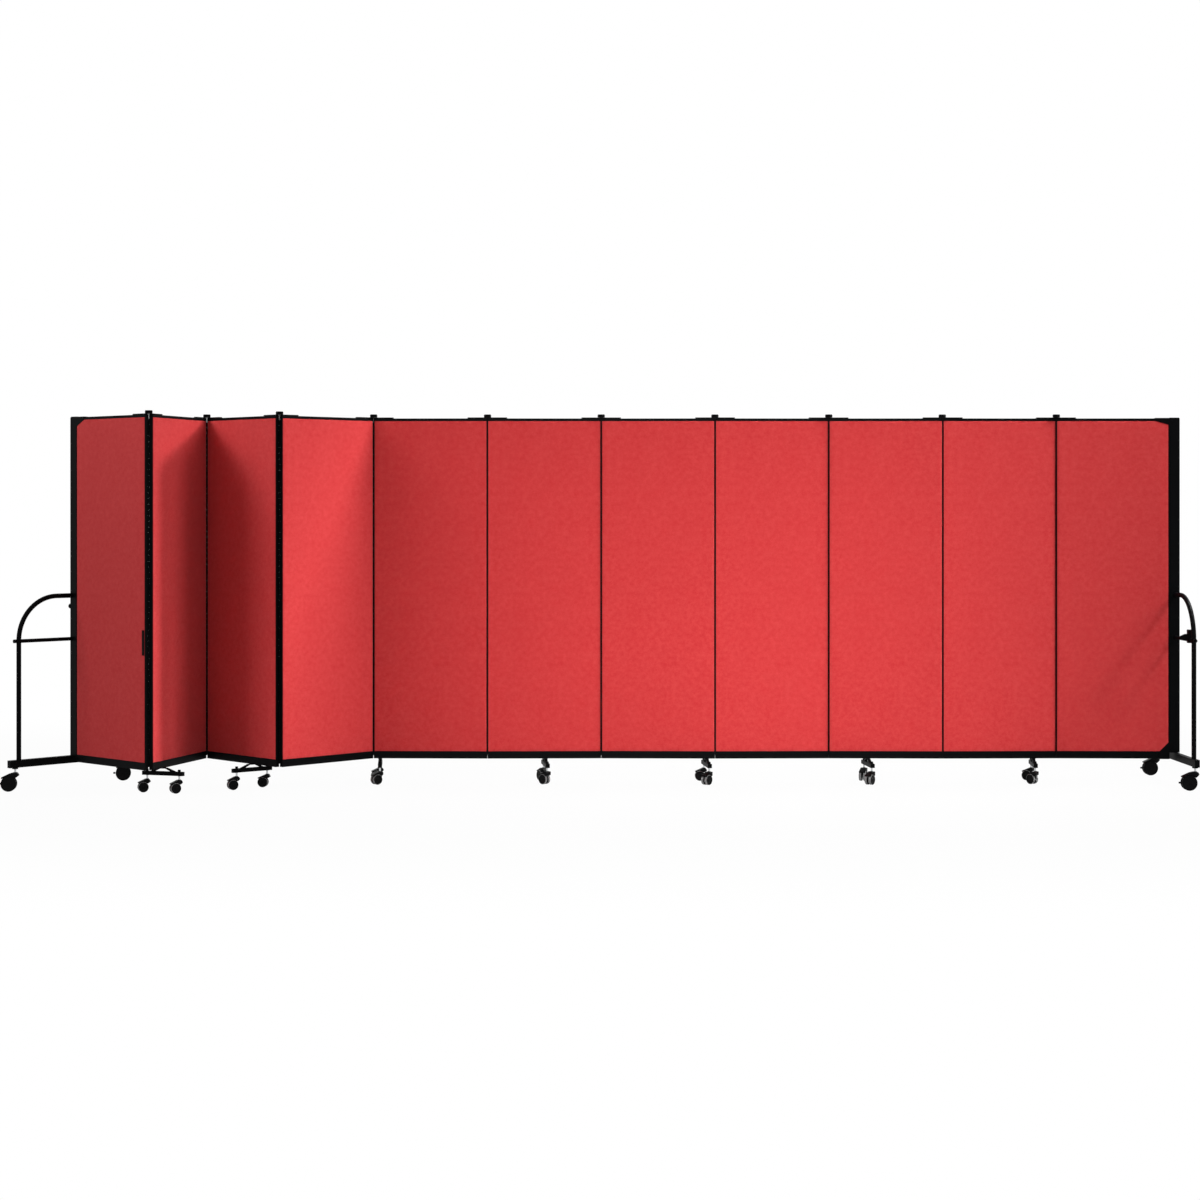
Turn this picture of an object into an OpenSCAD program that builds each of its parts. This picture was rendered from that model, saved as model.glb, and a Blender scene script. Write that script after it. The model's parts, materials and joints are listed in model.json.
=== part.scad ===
// Accordion folding partition. Eleven cloth-covered panels are pinned edge to edge by
// full-height hinges whose pins alternate between the back and the front face, so the
// wall folds up like a concertina. Seven panels stand on a cross foot with two
// twin-wheel casters, and an arched stabiliser frame on larger casters closes each end.
//
// The part stands on its wheels at z = 0, runs along X and shows its front to -Y.
// A panel is drawn in its own frame: x runs from its left hinge axis to its right one,
// y = 0 is its mid-plane and its front face looks to -y.

/* [Panels] */
// Distance between the two hinge axes of a panel
panel_w = 565; // [480:1:800]
// Thickness of a panel over its cloth
panel_t = 20; // [18:1:30]
// Height of the underside of the bottom rail
rail_z = 120; // [118:1:160]
// Height of the bottom rail's own section
bottom_rail_h = 36; // [25:1:60]
// Height of the top face of the top rail
rail_top = 1809; // [1300:1:2300]
// Height of the top rail's own section
top_rail_h = 13; // [8:1:30]
// Width of the stiles beside each hinge
stile_w = 10; // [6:1:20]
// Thickness of one layer of padded cloth
cloth_t = 1.5; // [1:0.1:3]
// Bare strip of frame left beside the cloth at a hinge
cloth_inset = 3.5; // [3.5:0.5:6]
// Bare strip of frame left beside the cloth at an end upright
cloth_end_inset = 6; // [2:0.5:12]

/* [Hinge caps] */
// Height of a hinge cap's top above the top rail
cap_h = 20; // [12:1:40]
// Radius of a hinge cap
cap_r = 18; // [8:0.5:20]
// Length of the corner plate under a hinge cap
corner_plate = 97; // [40:1:150]
// Thickness of the corner plate
corner_plate_t = 5; // [2:0.5:8]

/* [Hinges] */
// Distance of the pins from the mid-plane
pin_offset = 12; // [11:0.5:17]
// Number of knuckles along a hinge
knuckles = 61; // [9:2:61]
// Height of the lower end of the hinges
hinge_z = 135; // [120:1:200]
// Distance from the top rail's top face down to the upper end of the hinges
hinge_drop = 19; // [4:1:60]
// Radius of the knuckles
knuckle_r = 3; // [2.5:0.1:3.2]
// Radius of the pins
pin_r = 1.5; // [1:0.1:2]
// Thickness of the leaves, which close the panels' edges
leaf_t = 3.5; // [2.5:0.1:3.5]

/* [Folds as set up, 0 is a straight wall] */
// Fold of the first hinge from the left
fold_1 = 116; // [0:0.5:176]
// Fold of the second hinge
fold_2 = 118.5; // [0:0.5:176]
// Fold of the third hinge
fold_3 = 90.5; // [0:0.5:176]
// Fold of the fourth hinge
fold_4 = 46.5; // [0:0.5:176]
// Fold of every hinge further to the right
fold_rest = 3; // [0:0.5:90]

/* [Cross feet] */
// Half the length of the cross bar
foot_half = 108; // [100:1:130]
// Width of the cross bar
foot_w = 20; // [16:1:30]
// Height of the underside of the cross bar
foot_z = 83; // [80:1:90]
// Depth of the cross bar
foot_h = 19; // [12:1:22]
// Distance of the caster stems from the panel's mid-plane
stem_y = 85; // [80:1:92]
// Distance along the folded stack between neighbouring feet
foot_pitch = 82; // [75:1:90]
// Distance from the stack's left end to the first foot
foot_start = 31; // [25:1:45]

/* [Casters under the feet] */
// Radius of the small wheels
small_wheel_r = 25; // [20:0.5:26]
// Width over both small wheels
small_wheel_w = 34; // [26:1:38]
// Distance of the small axle behind its stem
small_trail = 20; // [14:1:24]
// Radius of the small stems
small_stem_r = 4.5; // [3:0.5:6]

/* [Casters under the end frames] */
// Radius of the large wheels
large_wheel_r = 37.5; // [30:0.5:40]
// Width over both large wheels
large_wheel_w = 40; // [32:1:50]
// Distance of the large axle behind its stem
large_trail = 30; // [22:1:34]
// Radius of the large stems
large_stem_r = 5; // [4:0.5:7]

/* [End frames] */
// Width of the end uprights along the wall
upright_w = 50; // [40:1:60]
// Distance of the uprights' middle outside the outermost hinge axes
upright_x = 20; // [19:1:20]
// Distance of the left bar and arch outside the outermost hinge axis
left_plane = 33; // [31:1:36]
// Distance of the right bar and arch outside the outermost hinge axis
right_plane = 24; // [20:1:30]
// How far the left bar and arch stand askew, in degrees
left_askew = -1.5; // [-1.5:0.1:3]
// How far the right bar and arch stand askew, in degrees
right_askew = 4.8; // [-1:0.1:5]
// Half the length of the bottom bar
end_half = 362; // [340:1:400]
// Width of the bottom bar
end_bar_w = 25; // [20:1:28]
// Depth of the bottom bar
end_bar_h = 36; // [25:1:50]
// Height of the underside of the bottom bar
end_bar_z = 114; // [112:1:120]
// Distance of the large stems from the mid-plane
end_stem_y = 327; // [310:1:332]
// Distance of the arch's posts from the mid-plane
post_y = 307; // [295:1:315]
// Radius of the arch tube
arch_r = 11.5; // [8:0.5:13]
// Bend radius of the arch at the tube's centre line
bend_r = 210; // [120:1:250]
// Height of the arch's top run
arch_top = 935; // [850:1:1100]
// Height of the cross rail between the posts
mid_z = 722.5; // [400:0.5:760]
// Radius of the cross rail
mid_r = 9; // [6:0.5:11]
// Half the length of the cross rail
mid_half = 335; // [325:1:345]

/* [Hidden] */
panel_count = 11;
root = 5;
footed = [2, 3, 5, 6, 7, 9, 10];
sides = ["front", "back"];
ends = ["left", "right"];

function panel_id(k) = str("panel_", k < 10 ? "0" : "", k);

$fn = 48;
eps = 0.01;
fit = 0.05;          // radial play of a running fit
seat = 0.02;         // play between two pieces fixed together
frame_black = "#17181a";
cloth_red = "#b93434";
plastic_black = "#222326";
tread_grey = "#77797c";
steel = "#8f9194";

// Panels
half_t = panel_t / 2;
core_half = half_t - cloth_t;
edge_gap = 0.5;                  // from a hinge axis to the edge of its panel
end_edge = upright_w / 2 - upright_x;
cloth_z = rail_z + bottom_rail_h;
cloth_top = rail_top - top_rail_h;

// Hinges
pin_clear = 0.4;                 // gap between neighbouring knuckles
knuckle_room = knuckle_r + 0.3;  // round the axis, clear for the neighbour's knuckles
leaf_back = -pin_offset - core_half;
leaf_front = half_t - pin_offset;
web_back = -knuckle_room - 1;
hinge_top = rail_top - hinge_drop;
hinge_len = hinge_top - hinge_z;
knuckle_l = hinge_len / knuckles;
cap_gap = 0.5;                   // from the corner plates to the hinge cap over them
cap_edge = 2.5;                  // bevel round the top of a hinge cap
cap_low = rail_top + corner_plate_t + cap_gap;
cap_top = rail_top + cap_h;

// Folds, and the heading of each panel that follows from them
folds = [fold_1, fold_2, fold_3, fold_4];
function fold(k) = k <= len(folds) ? folds[k - 1] : fold_rest;
function turn(k) = k % 2 == 1 ? fold(k) : -fold(k);
function heading(k) =
    k == root ? -fold_rest / 2 :
    k > root ? heading(k - 1) + turn(k - 1) :
    heading(k + 1) - turn(k);

function spin(a, p) = [p[0] * cos(a) - p[1] * sin(a), p[0] * sin(a) + p[1] * cos(a)];
function pin_y(k) = k % 2 == 1 ? pin_offset : -pin_offset;
function left_axis(k) = [0, pin_y(k - 1)];
function right_axis(k) = [panel_w, pin_y(k)];
function chain(k) =
    k == root ? [0, 0] :
    k > root ? chain(k - 1) + spin(heading(k - 1), right_axis(k - 1)) - spin(heading(k), left_axis(k)) :
    chain(k + 1) + spin(heading(k + 1), left_axis(k + 1)) - spin(heading(k), right_axis(k));

// The wall's plan is centred on the origin by the points that can reach farthest
function end_k(e) = e == "left" ? 1 : panel_count;
function upright_at(e) = [e == "left" ? -upright_x : panel_w + upright_x, 0];
function plane_at(e) = [e == "left" ? -left_plane : panel_w + right_plane, 0];
function askew(e) = e == "left" ? left_askew : right_askew;
function seen(k, p) = chain(k) + spin(heading(k), p);
reach = concat(
    [for (e = ends) for (sx = [-1, 1]) for (sy = [-1, 1])
        seen(end_k(e), plane_at(e) + spin(askew(e), [sx * end_bar_w / 2, sy * end_half]))],
    [for (e = ends) for (sx = [-1, 1]) seen(end_k(e), upright_at(e) + [sx * upright_w / 2, -half_t])],
    [for (k = [2:panel_count]) for (sy = [-1, 1]) seen(k, [0, sy * pin_offset])]
);
reach_x = [for (p = reach) p[0]];
reach_y = [for (p = reach) p[1]];
middle = [(min(reach_x) + max(reach_x)) / 2, (min(reach_y) + max(reach_y)) / 2];

// Feet: where each stands along the folded stack, and how far it is askew
foot_slots = [5, 10, 9, 6, 3, 2, 7];
foot_skews = [[3, -6], [5, 6], [6, 6], [7, 8], [9, 8], [10, -5]];
function slot_of(k) = search(k, foot_slots)[0];
function stack_x(k) = foot_start + slot_of(k) * foot_pitch;
function foot_x(k) = k % 2 == 1 ? stack_x(k) : panel_w - stack_x(k);
function foot_skew(k) = let (hit = [for (f = foot_skews) if (f[0] == k) f[1]]) len(hit) > 0 ? hit[0] : 0;
function has_foot(k) = len([for (f = footed) if (f == k) f]) > 0;
foot_top = foot_z + foot_h;
foot_pad_h = 4;
strut_w = 14;
strut_in = 44;
strut_out = 66;
strut_top_in = 6;
strut_top_out = 22;
neighbour_gap = 0.5;             // struts stay this far under a neighbour's rail
boss_r = 7;
boss_h = 10;
small_stem_top = foot_top + boss_h - 4;

// Casters: the way each one trails, seen from above, with 0 to +X and 90 to +Y
trails = [
    ["panel_02_back", 200], ["panel_02_front", 208],
    ["panel_03_back", 175], ["panel_03_front", 205],
    ["panel_05_back", 200], ["panel_05_front", 215],
    ["panel_06_back", 120], ["panel_06_front", 138],
    ["panel_07_back", 180], ["panel_07_front", 230],
    ["panel_09_back", 250], ["panel_09_front", 235],
    ["panel_10_back", 150], ["panel_10_front", 130],
    ["left_end_back", 190], ["left_end_front", 185],
    ["right_end_back", 180], ["right_end_front", 180]
];
function trail_of(name) = [for (t = trails) if (t[0] == name) t[1]][0];
function side_sign(s) = s == "front" ? -1 : 1;

web_t = 8;                       // plate between the two wheels
wheel_play = 0.5;                // between a wheel and that plate
tread_t = 5;
axle_r = 2.5;
boss_fill = 6.5;                 // radius of the plate around the axle
hood_gap = 1.5;
hood_cut = 1.64;                 // lower edge of the hood, in wheel radii
nose_drop = 11;                  // from the hood's top to the tip of its nose
tail_rise = 7;
tail_t = 3;
small_hood_top = 64;
large_hood_top = 91;
collar_h = 2;
collar_gap = 0.2;
stem_grip = 14;                  // length of stem held inside the housing

// End frames
end_bar_top = end_bar_z + end_bar_h;
upright_plug_h = 4;
plug_inset = 2;
flange_r = 14.5;
flange_h = 6;
large_stem_top = end_bar_z + 24;
spring_z = arch_top - bend_r;

// Knob, latch and keeper
knob_r = 12;
knob_len = 14;
knob_z = 882;
latch_y = -258.5;
latch_len = 30.5;
latch_half_x = 11;
latch_low = 14.5;                // below the cross rail's centre
latch_high = 50;                 // above it
tongue_t = 4.5;
tongue_reach = 56;
tongue_peak = [30, 30];          // across from the cross rail's centre, and above it
tongue_tip = [6, 18];            // lower and upper edge of the tip, above the centre
keeper_x = panel_w - 22;
keeper_w = 17;
keeper_h = 120;
keeper_z = mid_z - keeper_h / 2 + 2.5;
keeper_t = 2;

// Gussets on both faces of an outer corner: length along the rail, depth below it
gusset_t = 1.5;
bracket_t = 2.5;                 // thickness of a bracket's fold over the rail
left_top_gusset = [65, 35];
right_top_gusset = [70, 20];
right_bottom_gusset = [50, 50];

function left_edge(k) = k == 1 ? end_edge : edge_gap;
function right_edge(k) = k == panel_count ? panel_w - end_edge : panel_w - edge_gap;

module at_panel(k) {
    translate(chain(k) - middle) rotate([0, 0, heading(k)]) children();
}

// A box from one corner to the opposite one
module box(low, high) {
    translate(low) cube(high - low);
}

// ---- Panels ----

module frame_bars(k) {
    left = left_edge(k);
    right = right_edge(k);
    box([left, -half_t, rail_z], [right, half_t, cloth_z]);
    box([left, -half_t, cloth_top], [right, half_t, rail_top]);
    for (x = [left, right - stile_w])
        box([x, -core_half, cloth_z - eps], [x + stile_w, core_half, cloth_top + eps]);
}

// Plate on the corner beside a hinge, from x = 0 along the top rail to +x
module corner_cover() {
    box([0, -half_t, rail_top - eps], [corner_plate, half_t, rail_top + corner_plate_t]);
}

// Leaf of a hinge whose axis is at the origin, its panel lying to +x and to -y
module hinge_leaf(first) {
    difference() {
        box([edge_gap, leaf_back, rail_z], [edge_gap + leaf_t, leaf_front, rail_top]);
        room_for_knuckles();
    }
    for (i = [first:2:knuckles - 1])
        translate([0, 0, hinge_z + i * knuckle_l + pin_clear / 2]) {
            cylinder(r = knuckle_r, h = knuckle_l - pin_clear);
            box([edge_gap, web_back, 0], [knuckle_r, 0, knuckle_l - pin_clear]);
        }
}

module room_for_knuckles() {
    translate([0, 0, hinge_z - pin_clear]) cylinder(r = knuckle_room, h = hinge_len + 2 * pin_clear);
}

module at_left_hinge(k) {
    translate(left_axis(k)) mirror([0, left_axis(k)[1] > 0 ? 0 : 1, 0]) children();
}

module at_right_hinge(k) {
    translate(right_axis(k)) mirror([0, right_axis(k)[1] > 0 ? 0 : 1, 0]) mirror([1, 0, 0]) children();
}

module pin_bore() {
    translate([0, 0, hinge_z - 1]) cylinder(r = pin_r + fit, h = hinge_len + 2);
}

module hinge_pin() {
    translate([0, 0, hinge_z]) cylinder(r = pin_r, h = cap_low - seat - hinge_z);
}

// Round cap on the top of a hinge pin, over the corners of both panels
module hinge_cap() {
    translate([0, 0, cap_low]) cylinder(r = cap_r, h = cap_top - cap_edge - cap_low);
    translate([0, 0, cap_top - cap_edge]) cylinder(r1 = cap_r, r2 = cap_r - cap_edge, h = cap_edge);
}

// Corner bracket folded over a rail, the corner at the origin, the rail along +x, depth to -z
module bracket(size, rail_h) {
    outer = half_t + gusset_t;
    for (y = [-half_t, outer])
        translate([0, y, 0]) rotate([90, 0, 0]) linear_extrude(gusset_t)
            polygon([[0, -eps], [size[0], -eps], [size[0], -rail_h], [0, -rail_h - size[1]]]);
    box([0, -outer, -eps], [size[0], outer, bracket_t]);
}

module foot() {
    box([-foot_w / 2, -foot_half, foot_z], [foot_w / 2, foot_half, foot_top]);
    box([-foot_w / 2, -half_t, rail_z - foot_pad_h], [foot_w / 2, half_t, rail_z + eps]);
    for (s = [-1, 1]) {
        rotate([90, 0, 90]) translate([0, 0, -strut_w / 2]) linear_extrude(strut_w)
            polygon([
                [s * strut_in, foot_top - eps], [s * strut_out, foot_top - eps],
                [s * strut_top_out, rail_z - neighbour_gap], [s * strut_top_in, rail_z - neighbour_gap]
            ]);
        translate([0, s * stem_y, foot_top - eps]) cylinder(r = boss_r, h = boss_h);
    }
}

module at_foot(k) {
    translate([foot_x(k), 0, 0]) rotate([0, 0, foot_skew(k)]) children();
}

module stem_bores(half, r, low, high) {
    for (s = [-1, 1])
        translate([0, s * half, low - 1]) cylinder(r = r + fit, h = high - low + 1 + seat);
}

module keeper() {
    box([keeper_x, -half_t - keeper_t, keeper_z], [keeper_x + keeper_w, -half_t, keeper_z + keeper_h]);
}

module panel_frame(k) {
    first = k == 1;
    last = k == panel_count;
    color(frame_black) {
        difference() {
            union() {
                difference() {
                    frame_bars(k);
                    if (!first) at_left_hinge(k) room_for_knuckles();
                    if (!last) at_right_hinge(k) room_for_knuckles();
                }
                if (!first) translate([edge_gap, 0, 0]) corner_cover();
                if (!last) translate([panel_w - edge_gap, 0, 0]) mirror([1, 0, 0]) corner_cover();
                if (!first) at_left_hinge(k) hinge_leaf(1);
                if (!last) at_right_hinge(k) hinge_leaf(0);
                if (first) translate([end_edge, 0, rail_top]) bracket(left_top_gusset, top_rail_h);
                if (last) translate([panel_w - end_edge, 0, 0]) mirror([1, 0, 0]) {
                    translate([0, 0, rail_top]) bracket(right_top_gusset, top_rail_h);
                    translate([0, 0, rail_z]) mirror([0, 0, 1])
                        bracket(right_bottom_gusset, bottom_rail_h);
                }
                if (has_foot(k)) at_foot(k) foot();
            }
            if (!first) at_left_hinge(k) pin_bore();
            if (!last) at_right_hinge(k) pin_bore();
            if (has_foot(k)) at_foot(k) stem_bores(stem_y, small_stem_r, foot_z, small_stem_top);
        }
        if (first) keeper();
    }
    if (!last) at_right_hinge(k) {
        color(steel) hinge_pin();
        color(frame_black) hinge_cap();
    }
}

// Padded cloth on both faces and the light board between them
module panel_fabric(k) {
    left = left_edge(k);
    right = right_edge(k);
    cloth_left = left + (k == 1 ? cloth_end_inset : cloth_inset);
    cloth_right = right - (k == panel_count ? cloth_end_inset : cloth_inset);
    color(cloth_red)
        for (y = [-half_t, half_t - cloth_t])
            box([cloth_left, y, cloth_z], [cloth_right, y + cloth_t, cloth_top]);
    color("tan")
        box([left + stile_w, -core_half + seat, cloth_z], [right - stile_w, core_half - seat, cloth_top]);
}

// ---- Casters, with the stem's axis at the origin and the axle behind it on +x ----

// Wedge-shaped hood over the wheels with a round nose at the stem, and the plate between them
module housing(r, width, trail, hood_top) {
    low = hood_cut * r;
    tail = trail + 0.96 * r;
    nose = width / 2;
    difference() {
        intersection() {
            rotate([90, 0, 0]) translate([0, 0, -width / 2]) linear_extrude(width)
                polygon([
                    [-nose, hood_top - nose_drop], [-nose / 2, hood_top], [nose / 2, hood_top],
                    [trail, hood_top - nose_drop / 2], [tail, low + tail_rise],
                    [tail, low + tail_t], [tail - tail_t, low], [0, low], [-nose, hood_top - nose_drop - tail_t]
                ]);
            union() {
                cylinder(r = nose, h = hood_top);
                box([0, -width / 2, 0], [tail, width / 2, hood_top]);
            }
        }
        for (s = [-1, 1])
            translate([trail, s * (web_t + width) / 2, r]) rotate([90, 0, 0])
                cylinder(r = r + hood_gap, h = width, center = true);
    }
    rotate([90, 0, 0]) translate([0, 0, -web_t / 2]) linear_extrude(web_t)
        polygon([[trail - boss_fill, r], [0, low + eps], [trail + r / 2, low + eps], [trail + boss_fill, r]]);
    translate([trail, 0, r]) rotate([90, 0, 0]) cylinder(r = boss_fill, h = web_t, center = true);
}

module across(trail, r) {
    translate([trail, 0, r]) rotate([90, 0, 0]) children();
}

module caster(r, width, trail, hood_top, stem_r, stem_top, mount_z) {
    grip_z = hood_top - stem_grip;
    color(plastic_black) difference() {
        housing(r, width, trail, hood_top);
        translate([0, 0, grip_z]) cylinder(r = stem_r + seat, h = stem_grip + 1);
        across(trail, r) cylinder(r = axle_r + seat, h = width, center = true);
    }
    color(steel) {
        translate([0, 0, grip_z + seat]) cylinder(r = stem_r, h = stem_top - grip_z - seat);
        translate([0, 0, mount_z - collar_gap - collar_h]) cylinder(r = stem_r + 2, h = collar_h);
        across(trail, r) cylinder(r = axle_r, h = width - 1, center = true);
    }
}

// Two wheels on one axle: a tread and a hub disc each
module wheels(r, width, trail, tread_colour) {
    inner = web_t / 2 + wheel_play;
    wheel_t = width / 2 - inner;
    hub_r = r - tread_t;
    for (s = [-1, 1])
        across(trail, r) translate([0, 0, s * (inner + wheel_t / 2)]) {
            color(tread_colour) difference() {
                cylinder(r = r, h = wheel_t, center = true);
                cylinder(r = hub_r + seat, h = wheel_t + 1, center = true);
            }
            color(plastic_black) difference() {
                cylinder(r = hub_r, h = wheel_t, center = true);
                cylinder(r = axle_r + fit, h = wheel_t + 1, center = true);
            }
        }
}

module small_caster() {
    caster(small_wheel_r, small_wheel_w, small_trail, small_hood_top,
        small_stem_r, small_stem_top, foot_z);
}

module small_wheels() {
    wheels(small_wheel_r, small_wheel_w, small_trail, tread_grey);
}

module large_caster() {
    caster(large_wheel_r, large_wheel_w, large_trail, large_hood_top,
        large_stem_r, large_stem_top, end_bar_z - flange_h);
    color(plastic_black) brake_tab();
}

// Foot tab of the wheel brake, in front of the wheels and behind the axle
module brake_tab() {
    x = large_trail + large_wheel_r;
    box([x + hood_gap, -web_t / 2, large_wheel_r - 4], [x + 12, web_t / 2, large_wheel_r + 4]);
}

module large_wheels() {
    wheels(large_wheel_r, large_wheel_w, large_trail, plastic_black);
}

module at_foot_caster(k, s) {
    name = str(panel_id(k), "_", s);
    at_foot(k) translate([0, side_sign(s) * stem_y, 0])
        rotate([0, 0, trail_of(name) - heading(k) - foot_skew(k)]) children();
}

module at_end_caster(e, s) {
    name = str(e, "_end_", s);
    at_end_plane(e) translate([0, side_sign(s) * end_stem_y, 0])
        rotate([0, 0, trail_of(name) - heading(end_k(e)) - askew(e)]) children();
}

// ---- End frames, in a plane across the outer edge of the first and the last panel ----

// Half of the arch and of the cross rail, on the +y side
module arch_half() {
    foot = end_bar_top + seat;
    translate([0, post_y, foot]) cylinder(r = arch_r, h = spring_z - foot + eps);
    translate([0, post_y - bend_r, spring_z]) rotate([90, 0, 90])
        rotate_extrude(angle = 90) translate([bend_r, 0]) circle(r = arch_r);
    translate([0, 0, arch_top]) rotate([-90, 0, 0]) cylinder(r = arch_r, h = post_y - bend_r);
    translate([0, 0, mid_z]) rotate([-90, 0, 0]) cylinder(r = mid_r, h = mid_half);
}

module at_end_plane(e) {
    translate(plane_at(e)) rotate([0, 0, askew(e)]) children();
}

module bottom_bar() {
    box([-end_bar_w / 2, -end_half, end_bar_z], [end_bar_w / 2, end_half, end_bar_top]);
    for (s = [-1, 1])
        translate([0, s * end_stem_y, end_bar_z - flange_h]) cylinder(r = flange_r, h = flange_h + eps);
}

module upright() {
    half_w = upright_w / 2;
    box([-half_w, -half_t, end_bar_top + seat], [half_w, half_t, rail_top]);
    box([-half_w + plug_inset, -half_t + plug_inset, rail_top - eps],
        [half_w - plug_inset, half_t - plug_inset, rail_top + upright_plug_h]);
}

// Room for the upright, whose faces the arch and the cross rail are welded to
module upright_room() {
    half_w = upright_w / 2 + seat;
    box([-half_w, -half_t - seat, end_bar_top], [half_w, half_t + seat, rail_top]);
}

module end_frame(e) {
    translate(upright_at(e)) upright();
    at_end_plane(e) difference() {
        bottom_bar();
        stem_bores(end_stem_y, large_stem_r, end_bar_z - flange_h, large_stem_top);
    }
    for (s = [0, 1]) difference() {
        at_end_plane(e) mirror([0, s, 0]) arch_half();
        translate(upright_at(e)) upright_room();
    }
}

// Clamp knob on the outer face of the left upright
module knob() {
    translate([-upright_w / 2 - seat - knob_len, 0, knob_z]) rotate([0, 90, 0])
        cylinder(r = knob_r, h = knob_len);
}

// Catch on the right cross rail, whose tongue holds the folded stack at the keeper
module latch() {
    difference() {
        box([-latch_half_x, latch_y, mid_z - latch_low],
            [latch_half_x, latch_y + latch_len, mid_z + latch_high]);
        translate([0, latch_y - 1, mid_z]) rotate([-90, 0, 0]) cylinder(r = mid_r + seat, h = latch_len + 2);
    }
    translate([0, latch_y + tongue_t, mid_z]) rotate([90, 0, 0]) linear_extrude(tongue_t)
        polygon([
            [-latch_half_x + eps, -tongue_tip[0]], [-latch_half_x + eps, tongue_peak[1]],
            [-tongue_peak[0], tongue_peak[1]], [-tongue_reach, tongue_tip[1]], [-tongue_reach, tongue_tip[0]]
        ]);
}

module left_end_frame() {
    color(frame_black) {
        end_frame("left");
        translate(upright_at("left")) knob();
    }
}

module right_end_frame() {
    color(frame_black) {
        end_frame("right");
        at_end_plane("right") latch();
    }
}

for (k = [1:panel_count]) {
    at_panel(k) panel_frame(k);
    at_panel(k) panel_fabric(k);
}
at_panel(1) left_end_frame();
at_panel(panel_count) right_end_frame();
for (k = footed) for (s = sides) {
    id = str(panel_id(k), "_", s);
    at_panel(k) at_foot_caster(k, s) small_caster();
    at_panel(k) at_foot_caster(k, s) small_wheels();
}
for (e = ends) for (s = sides) {
    id = str(e, "_end_", s);
    at_panel(end_k(e)) at_end_caster(e, s) large_caster();
    at_panel(end_k(e)) at_end_caster(e, s) large_wheels();
}
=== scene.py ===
"""Accordion folding partition in a plain white studio.

The frames, hinges and end frames are the model's own solids in a powder-coat finish. The cloth
and the casters are made here, in metres, in the same frame.
"""

import json
import math
from collections import namedtuple
from contextlib import contextmanager

import bpy
from mathutils import Matrix, Vector, noise


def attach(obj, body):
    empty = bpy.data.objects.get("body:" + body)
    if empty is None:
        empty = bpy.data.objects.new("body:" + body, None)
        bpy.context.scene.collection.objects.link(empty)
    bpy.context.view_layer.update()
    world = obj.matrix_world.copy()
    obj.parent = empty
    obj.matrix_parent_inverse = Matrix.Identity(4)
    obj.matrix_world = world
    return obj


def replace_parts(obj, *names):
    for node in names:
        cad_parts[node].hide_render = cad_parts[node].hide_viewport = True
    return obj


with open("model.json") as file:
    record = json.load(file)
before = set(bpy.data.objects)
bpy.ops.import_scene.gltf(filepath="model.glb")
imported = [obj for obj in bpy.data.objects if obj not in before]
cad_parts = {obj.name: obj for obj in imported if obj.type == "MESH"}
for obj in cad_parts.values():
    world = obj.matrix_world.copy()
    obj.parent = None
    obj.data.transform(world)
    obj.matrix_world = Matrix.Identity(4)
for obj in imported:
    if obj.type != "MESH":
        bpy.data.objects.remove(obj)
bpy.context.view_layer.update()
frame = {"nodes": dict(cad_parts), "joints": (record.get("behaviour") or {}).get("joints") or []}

MM = 0.001

# The wall, as in the part's source
PANEL_COUNT = 11
PANEL_W = 565 * MM
PIN_OFFSET = 12 * MM
FOOTED = (2, 3, 5, 6, 7, 9, 10)
ASKEW = {"left": -1.5, "right": 4.8}
SIDES = {"front": -1, "back": 1}

# The photograph's camera
CAMERA_AT = Vector((-0.01974, -11.76601, 1.385))
CAMERA_LENS = 71.56
SENSOR_WIDTH = 36
HORIZON_BELOW_TOP = 503.8
IMAGE_SIZE = 1200


# ---- Where things are ----

joints = {joint["name"]: joint for joint in frame["joints"]}


def spot(joint_name):
    return Vector(joints[joint_name]["pos_m"])


def pin_side(k):
    """Which side of the mid-plane the pin of hinge k is on, the back for odd hinges."""
    return PIN_OFFSET if k % 2 else -PIN_OFFSET


def flat_turn(angle):
    return Matrix.Rotation(angle, 4, "Z")


def panel_place(k):
    """A panel's own frame: x from its left hinge axis, y from its mid-plane, z from the floor."""
    left_pin = Vector((0, pin_side(k - 1), 0))
    right_pin = Vector((PANEL_W, pin_side(k), 0))
    if 1 < k < PANEL_COUNT:
        across = spot(f"hinge_{k:02d}") - spot(f"hinge_{k - 1:02d}")
        local = right_pin - left_pin
        heading = math.atan2(across.y, across.x) - math.atan2(local.y, local.x)
    else:
        end = "left" if k == 1 else "right"
        bar = spot(f"{end}_end_back_swivel") - spot(f"{end}_end_front_swivel")
        heading = math.atan2(bar.y, bar.x) - math.pi / 2 - math.radians(ASKEW[end])
    known, pin = (spot("hinge_01"), right_pin) if k == 1 else (spot(f"hinge_{k - 1:02d}"), left_pin)
    origin = known - flat_turn(heading) @ pin
    return Matrix.Translation((origin.x, origin.y, 0)) @ flat_turn(heading)


def caster_place(name):
    """A caster's own frame: its stem on z, its axle behind it on +x."""
    stem, axle = spot(f"{name}_swivel"), spot(f"{name}_roll")
    heading = math.atan2(axle.y - stem.y, axle.x - stem.x)
    return Matrix.Translation((stem.x, stem.y, 0)) @ flat_turn(heading)


# ---- Modelling ----

ON_AXIS = 1e-7
SAME_PLACE = 1e-6
CREASE_ANGLE = 35


def only(piece):
    """Selects one object and makes it the active one."""
    bpy.ops.object.select_all(action="DESELECT")
    piece.select_set(True)
    bpy.context.view_layer.objects.active = piece


@contextmanager
def editing(piece):
    """Edit mode on one piece, with everything in it selected."""
    only(piece)
    bpy.ops.object.mode_set(mode="EDIT")
    bpy.ops.mesh.select_all(action="SELECT")
    yield
    bpy.ops.object.mode_set(mode="OBJECT")


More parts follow.
